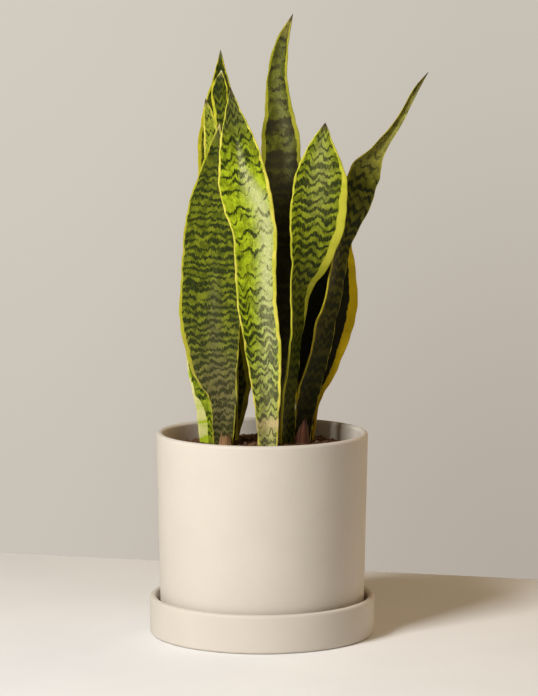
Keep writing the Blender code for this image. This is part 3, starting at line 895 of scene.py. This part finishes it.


# --------
# Back left leaf: tall, dark and plain behind the front ones, its darkness partly
# painted shade from them, with an olive-yellow left margin, a browner one low on the
# right, and a grey-green spike.
# --------
make_leaf("leaf_back_left", stations=[
    (-22, -29, 20, 6, 0, 2.6), (-1, -28, 21, 6.6, 0, 3), (38, -22, 24, 10.4, 0, 3.2),
    (51, -22, 25, 12.8, 0, 3.2), (72, -26, 27, 14, -2, 3.2), (123, -34, 32, 16, -4, 3),
    (182, -36, 37, 17, -5, 2.8), (249, -37, 42, 17.4, -5, 2.6), (283, -36, 43, 13.5, -5, 2.2),
    (308, -35, 43, 6.9, -5, 1.6), (333, -35, 42, 0.15, -5, 0.1),
], looks=[
    (-22, 1, 2.4, 0.6, 0.2, 0.55), (40, 1.2, 4, 0.6, 0.1, 0.55), (80, 1.4, 5, 0.5, 0.1, 0.55),
    (130, 2, 3, 0.4, 0, 0.55), (200, 3.2, 1.8, 0.4, 0, 0.52), (262, 3, 1.6, 0.6, 0, 0.5),
    (290, 1.2, 1, 0.85, 0, 0.55), (318, 0.9, 0.9, 0.8, 0, 0.55), (333, 0.6, 0.6, 0.8, 0.1, 0.5),
],
    seed=6, green=(0.11, 0.125, 0.004), light_green=(0.2, 0.22, 0.01), margin=(0.44, 0.4, 0.018),
    margin_green=(0.26, 0.25, 0.01), spine=(0.1, 0.1, 0.04))


# --------
# Back centre leaf, the tallest of all: it stands behind the others and twists a
# little at the top. Olive above with wide dark bands and a faint painted sheen,
# near-black lower down, partly as painted shade from the leaves in front.
# --------
make_leaf("leaf_back_centre", stations=[
    (-22, 17, 15, 6.4, -5, 2.6), (-2, 17, 18, 7, -5, 3), (55, 18, 29, 13.6, -5, 3.2),
    (122, 18, 35, 18.2, -5, 3), (207, 17, 39, 17, -5, 2.8), (253, 16, 43, 16.6, -5, 2.6),
    (285, 14, 46, 11.6, -8, 2.4), (308, 13, 47, 9, -12, 2.6), (337, 17, 47, 6.2, -16, 2.4),
    (363, 26, 45, 0.15, -20, 0.2),
], looks=[
    (-22, 0.8, 0.8, 0.8, 0.1, 0.6), (185, 1, 1, 0.78, 0, 0.6), (215, 2, 1.8, 0.84, 0, 0.58),
    (226, 2.8, 2.4, 0.82, 0, 0.5), (230, 2.9, 2.5, 0.62, 0, 0.45), (235, 3, 2.6, 0.92, 0, 0.6),
    (243, 3.4, 2.9, 0.85, 0, 0.6), (249, 3.5, 3, 0.35, 0, 0.42), (262, 3.4, 3.2, 0.2, 0, 0.44),
    (267, 3.4, 3.2, 0.8, 0, 0.6), (272, 3.2, 3.2, 0.75, 0, 0.6), (277, 3.1, 3.2, 0.15, 0, 0.44),
    (305, 1.6, 2, 0.15, 0, 0.48), (340, 1.4, 1.2, 0.3, 0, 0.48), (348, 1.2, 1, 0.05, 0.25, 0.4),
    (363, 0.6, 0.6, 0.5, 0.2, 0.4),
], painted_sheen=[
    (-22, 0, 0.3, 0.3), (205, 0, 0.3, 0.3), (238, 0.22, 0.4, 0.22), (262, 0.34, 0.35, 0.25),
    (285, 0.28, 0.2, 0.35), (320, 0.08, 0, 0.5), (363, 0, 0, 0.5),
],
    seed=7, spacing=9, regular=0.05, wave=0.3, feather=2.6, green=(0.078, 0.09, 0.005),
    light_green=(0.15, 0.168, 0.013), dark_green=(0.024, 0.021, 0.008),
    deep_green=(0.024, 0.019, 0.008), margin=(0.34, 0.33, 0.026), margin_green=(0.26, 0.27, 0.01))


# --------
# Front right leaf: its sheath stands edge on, and the blade opens to face forward
# above. Bright, with W-shaped bands that peak on the midrib and a painted sheen near
# the top; the edge-on lower part is darker, partly as painted shade. The right margin
# is bright yellow and broad, the left one a thin line. A dark spine ends it.
# --------
make_leaf("leaf_front_right", stations=[
    (-22, 18, -1, 7.6, 40, 2.8), (2, 19, -3, 8.4, 45, 3), (41, 21, -5, 10.2, 58, 3),
    (95, 27, -8, 13.2, 69, 3), (134, 31, -11, 16, 55, 3), (161, 40, -15, 19.6, 28, 2.8),
    (197, 46, -20, 23.8, 10, 2.4), (225, 48, -23, 22.2, 5, 2.2), (252, 49, -25, 12.4, 0, 1.6),
    (267, 51, -26, 4.4, 0, 0.8), (274, 52, -26, 0.15, 0, 0.1),
], looks=[
    (-22, 1.6, 0.3, 0.8, 0, 0.5), (60, 1.7, 0.3, 0.8, 0, 0.5), (98, 1.6, 0.5, 0.66, 0, 0.5),
    (114, 1.6, 3.6, 0.6, 0, 0.5), (150, 1.4, 7.4, 0.3, 0, 0.5), (172, 1.4, 7.4, 0.05, 0, 0.52),
    (195, 1.3, 7.4, 0, 0, 0.53), (218, 1.3, 5.2, 0, 0, 0.53), (240, 1.3, 2.6, 0, 0, 0.5),
    (262, 1, 1.2, 0.05, 0, 0.45), (274, 0.5, 0.5, 0.5, 0.2, 0.45),
], painted_sheen=[
    (-22, 0, 0, 0.5), (180, 0.05, 0, 0.5), (215, 0.35, 0, 0.45), (250, 0.5, 0, 0.45),
    (268, 0.2, 0, 0.5), (274, 0, 0, 0.5),
],
    seed=8, spacing=7.4, regular=0.16, wave=2, feather=3.4, green=(0.15, 0.185, 0.003),
    light_green=(0.31, 0.37, 0.012), margin=(0.54, 0.53, 0.05))


# --------
# Leaning leaf at the right: it twists edge on above the sheath, leans out, and
# rolls up into a long dark point. Dark olive and mottled, darkest low down partly as
# painted shade, thin yellow margin on its left, browner lower down, and a yellowish
# painted sheen on the point.
# --------
make_leaf("leaf_leaning_right", stations=[
    (-22, 30, 10, 7.2, 15, 2.8), (1, 32, 12, 7.8, 20, 3), (40, 37, 13, 10.4, 30, 3.2),
    (83, 48, 13, 13.4, 50, 3.4), (105, 52, 13, 14.4, 54, 3.6), (127, 58, 12, 14, 59, 3.6),
    (167, 65, 13, 13.4, 60, 3.8), (200, 76, 12, 13.6, 30, 3.8), (230, 85, 10, 14, 12, 4.2),
    (250, 96, 8, 6.6, 12, 4.4), (275, 114, 5, 3.2, 12, 3), (301, 128, 3, 2.2, 12, 1.8),
    (315, 138, 2, 0.2, 12, 0.2),
], looks=[
    (-22, 0.8, 0.3, 0.9, 0.1, 0.55), (60, 1.4, 0.3, 0.85, 0.02, 0.58), (110, 2, 0.4, 0.72, 0.04, 0.58),
    (150, 1.7, 0.4, 0.55, 0, 0.57), (185, 1.4, 0.4, 0.32, 0, 0.56), (235, 1.1, 0.2, 0, 0, 0.48),
    (248, 0.9, 0, 0, 0, 0.34), (285, 0.6, 0, 0.1, 0.05, 0.3), (315, 0.3, 0, 0.6, 0.2, 0.4),
], painted_sheen=[
    (-22, 0, 0, 1.5), (222, 0, 0, 1.5), (245, 0.5, 0, 1.5), (292, 0.35, 0, 1.5), (315, 0, 0, 1.5),
],
    seed=9, spacing=9, wax=(0.3, 0.27, 0.06), green=(0.105, 0.108, 0.005),
    light_green=(0.195, 0.198, 0.014), dark_green=(0.014, 0.018, 0.004),
    deep_green=(0.022, 0.023, 0.005), margin=(0.42, 0.36, 0.02), margin_green=(0.22, 0.17, 0.012))


# --------
# Back right leaf: short and very dark, its darkness partly painted shade from the
# leaves in front, with faint long lines, and one broad brownish-yellow margin down
# its whole right side.
# --------
make_leaf("leaf_back_right", stations=[
    (-22, 33, 20, 7, 18, 2.8), (-1, 35, 20, 7.7, 20, 3), (38, 38.5, 23.5, 11.2, 20, 3.2),
    (72, 47, 27, 20.2, 20, 3.2), (115, 58.2, 32, 23.4, 20, 3), (149, 63.5, 36.5, 16.4, 20, 2.6),
    (174, 66, 39, 9.4, 20, 2), (199, 68, 40, 0.15, 20, 0.1),
], looks=[
    (-22, 0.6, 0.8, 0.9, 0.1, 0.6), (30, 0.7, 2.6, 0.9, 0, 0.6), (70, 0.9, 5.4, 0.92, 0, 0.6),
    (115, 1, 8.2, 0.9, 0, 0.6), (160, 0.9, 5.4, 0.7, 0, 0.55), (199, 0.6, 1, 0.6, 0.2, 0.5),
],
    seed=10, green=(0.04, 0.042, 0.004), light_green=(0.07, 0.072, 0.006),
    dark_green=(0.01, 0.01, 0.004), deep_green=(0.009, 0.009, 0.003), margin=(0.56, 0.4, 0.006),
    margin_green=(0.42, 0.3, 0.006))


# --------
# Two dry sheaths at the foot: the papery remains of older leaves, left clasping
# the bases. The left one is an orange-brown stub, the right one dark red-brown and
# streaked along its fibres. Their upper edges are torn ragged.
# --------
HUSK_THICKNESS = 1.3 * MM
HUSK_ROWS = 60
HUSK_COLUMNS = 64
TORN_SHARE = 0.36


def make_husk_material(name, light, dark):
    """Dry leaf tissue: papery, streaked along its fibres, frayed and quite dull."""
    material, net, shader = new_material(name)
    across, up, torn = net.read("husk_place")
    veins = net.use(veins_group, Across=across, Up=up, Seed=3)
    body = net.blend(veins["Vein"], light, dark)
    body = net.blend(net.ramp(torn, 0, 6 * MM, 0.55, 0), body, dark)
    net.put(body, shader.inputs["Base Color"])
    net.put(net.ramp(veins["Vein"], 0, 1, 0.75, 0.92), shader.inputs["Roughness"])
    net.bump(shader, 0.7, 0.6 * MM, veins["Height"])
    return material


def make_husk(name, stations, light, dark, seed):
    """One papery sheath: a thin crescent blade whose top edge is torn down by a seeded saw."""
    low, high = stations[0][0], stations[-1][0]
    angle = np.linspace(0, 2 * math.pi, HUSK_COLUMNS, endpoint=False)
    share = -np.cos(angle)
    torn = 0.5 + 0.28 * drift(share, 0.5, seed) + 0.22 * drift(share, 0.16, seed + 1)
    top = high - (high - low) * TORN_SHARE * np.clip(torn, 0, 1)
    heights = low + (top - low)[None] * np.linspace(0, 1, HUSK_ROWS)[:, None]
    grid, across, half_width = blade_surface(
        stations, heights, HUSK_THICKNESS, HUSK_THICKNESS, 2, 1.5, seed
    )
    place = np.stack([half_width * across, heights * MM, (top[None] - heights) * MM], axis=2)
    tissue = make_husk_material(name + "_tissue", light, dark)
    husk = make_blade(name + "_paper", tissue, grid, {"husk_place": place})
    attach(husk, "root")
    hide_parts(name)


make_husk("dry_sheath_left", stations=[
    (-7, -31, -17, 5.6, -10, -1.6), (3, -31, -17, 5.6, -10, -1.8), (11, -31, -18, 5.2, -10, -2),
    (17, -32, -18, 3.4, -10, -1.2),
],
    light=(0.42, 0.24, 0.1), dark=(0.16, 0.08, 0.03), seed=31)
make_husk("dry_sheath_right", stations=[
    (-7, 34, -1, 6, 20, -1.6), (4, 34, -1, 6.6, 20, -2), (14, 35, -2, 5.2, 24, -2.2),
    (22, 36, -3, 2.6, 28, -1.4), (27, 36, -4, 0.7, 30, -0.3),
],
    light=(0.2, 0.075, 0.035), dark=(0.06, 0.022, 0.012), seed=33)


# --------
# Table, light and camera. The plant stands on a plain pale table whose far edge
# shows just behind it, in front of a warm grey backdrop. One soft lamp stands to
# the left of the camera. Two weak warm ones, behind on the right and above the
# camera, stand for what walls and cards throw back, and the room adds a little.
# --------
TABLE_EDGE_Y = 0.292
TABLE_EDGE_SLANT = -0.266
TABLE_REACH = 2
TABLE_NEAR_Y = -2.6
TABLE_TOP_Z = -0.2 * MM
TABLE_THICKNESS = 40 * MM
TABLE_COLOUR = (0.88, 0.88, 0.88)
TABLE_SHADE = [0.97 * part for part in TABLE_COLOUR]
LAMP_SIDE = math.radians(-40)
LAMP_RISE = math.radians(33)
LAMP_DISTANCE = 2
LAMP_AIM_Z = 0.25
ROOM_COLOUR = (1, 0.77, 0.51)
ROOM_STRENGTH = 0.145
# Backdrop colours, left and right at each level: darker to the right and downwards as painted shade of
# the lamp's fall-off across the backdrop.
BACKDROP_HIGH = (0.645, 0.604, 0.527), (0.58, 0.534, 0.466)
BACKDROP_LOW = (0.59, 0.54, 0.475), (0.455, 0.405, 0.352)
CAMERA_PLACE = (0, -2.4, 0.513)
CAMERA_DOWN = math.radians(6.47)
FOCAL_LENGTH = 148.97
IMAGE_HEIGHT = 696
AXIS_OFF_CENTRE = 6.9


def make_table():
    """A thick table board seen from its near part, with a straight slanted far edge."""
    material, net, shader = new_material("table_paint")
    _, cloud, _ = clouding(net, 120 * MM, 4 * MM)
    net.put(net.blend(cloud, TABLE_SHADE, TABLE_COLOUR), shader.inputs["Base Color"])
    shader.inputs["Roughness"].default_value = 0.7
    shader.inputs["Specular IOR Level"].default_value = 0.2
    left, right = -TABLE_REACH, TABLE_REACH
    back_left, back_right = (TABLE_EDGE_Y + TABLE_EDGE_SLANT * x for x in (left, right))
    outline = [(left, TABLE_NEAR_Y), (right, TABLE_NEAR_Y), (right, back_right), (left, back_left)]
    points = [(x, y, z) for z in (-TABLE_THICKNESS, TABLE_TOP_Z) for x, y in outline]
    quads = [(4, 5, 6, 7), (3, 2, 1, 0), (0, 1, 5, 4), (1, 2, 6, 5), (2, 3, 7, 6), (3, 0, 4, 7)]
    table = make_mesh("table", material, points, np.array(quads))
    table.data.polygons.foreach_set("use_smooth", np.zeros(len(quads), dtype=bool))


def make_room():
    """The world: weak even light on the object, and a warm grey seen behind it, graded darker to the
    right and downwards as painted shade of the lamp's fall-off.
    """
    world = bpy.data.worlds.new("studio_room")
    bpy.context.scene.world = world
    world.use_nodes = True
    world.node_tree.nodes.clear()
    net = Net(world.node_tree)
    towards = net.node("TexCoord").outputs["Generated"]
    right, _, upward = net.node("SeparateXYZ", Vector=towards).outputs
    # Painted shade of the lamp's fall-off: the backdrop darkens to the right and downwards.
    side, rise = net.ramp(right, -0.09, 0.09), net.ramp(upward, -0.2, 0.02)
    low, high = (net.blend(side, *colours) for colours in (BACKDROP_LOW, BACKDROP_HIGH))
    seen = net.node("Background", Color=net.blend(rise, low, high), Strength=1)
    fill = net.node("Background", Color=ROOM_COLOUR, Strength=ROOM_STRENGTH)
    path = net.node("LightPath").outputs["Is Camera Ray"]
    mix = net.in_order("MixShader", (path, fill.outputs[0], seen.outputs[0]))
    net.node("OutputWorld", Surface=mix)


def make_lamp(name, place, size, power, colour):
    """A square soft light at a place, aimed at the middle of the plant."""
    lamp = bpy.data.lights.new(name, "AREA")
    lamp.shape = "SQUARE"
    lamp.size, lamp.energy, lamp.color = size, power, colour
    item = bpy.data.objects.new(name, lamp)
    bpy.context.scene.collection.objects.link(item)
    item.location = place
    level = math.hypot(place[0], place[1])
    turn = math.atan2(place[0], -place[1])
    item.rotation_euler = (math.atan2(level, place[2] - LAMP_AIM_Z), 0, turn)


def make_camera():
    """A long lens from a little above, tipped down, its frame shifted to the planter's axis."""
    camera = bpy.data.cameras.new("camera")
    camera.lens = FOCAL_LENGTH
    camera.sensor_width = 36
    camera.shift_x = AXIS_OFF_CENTRE / IMAGE_HEIGHT
    item = bpy.data.objects.new("camera", camera)
    bpy.context.scene.collection.objects.link(item)
    item.location = CAMERA_PLACE
    item.rotation_euler = (0.5 * math.pi - CAMERA_DOWN, 0, 0)
    bpy.context.scene.camera = item


make_table()
make_room()
level_distance = LAMP_DISTANCE * math.cos(LAMP_RISE)
soft_box_place = (
    level_distance * math.sin(LAMP_SIDE),
    -level_distance * math.cos(LAMP_SIDE),
    LAMP_AIM_Z + LAMP_DISTANCE * math.sin(LAMP_RISE),
)
make_lamp("soft_box", soft_box_place, size=0.56, power=47, colour=(1, 0.98, 0.95))
make_lamp("wall_bounce", (0.98, 0.8, 0.56), size=0.9, power=6, colour=(1, 0.72, 0.42))
make_lamp("front_card", (-0.05, -2, 1), size=0.9, power=1.2, colour=(1, 0.82, 0.6))
make_camera()
bpy.context.scene.view_settings.view_transform = "Standard"
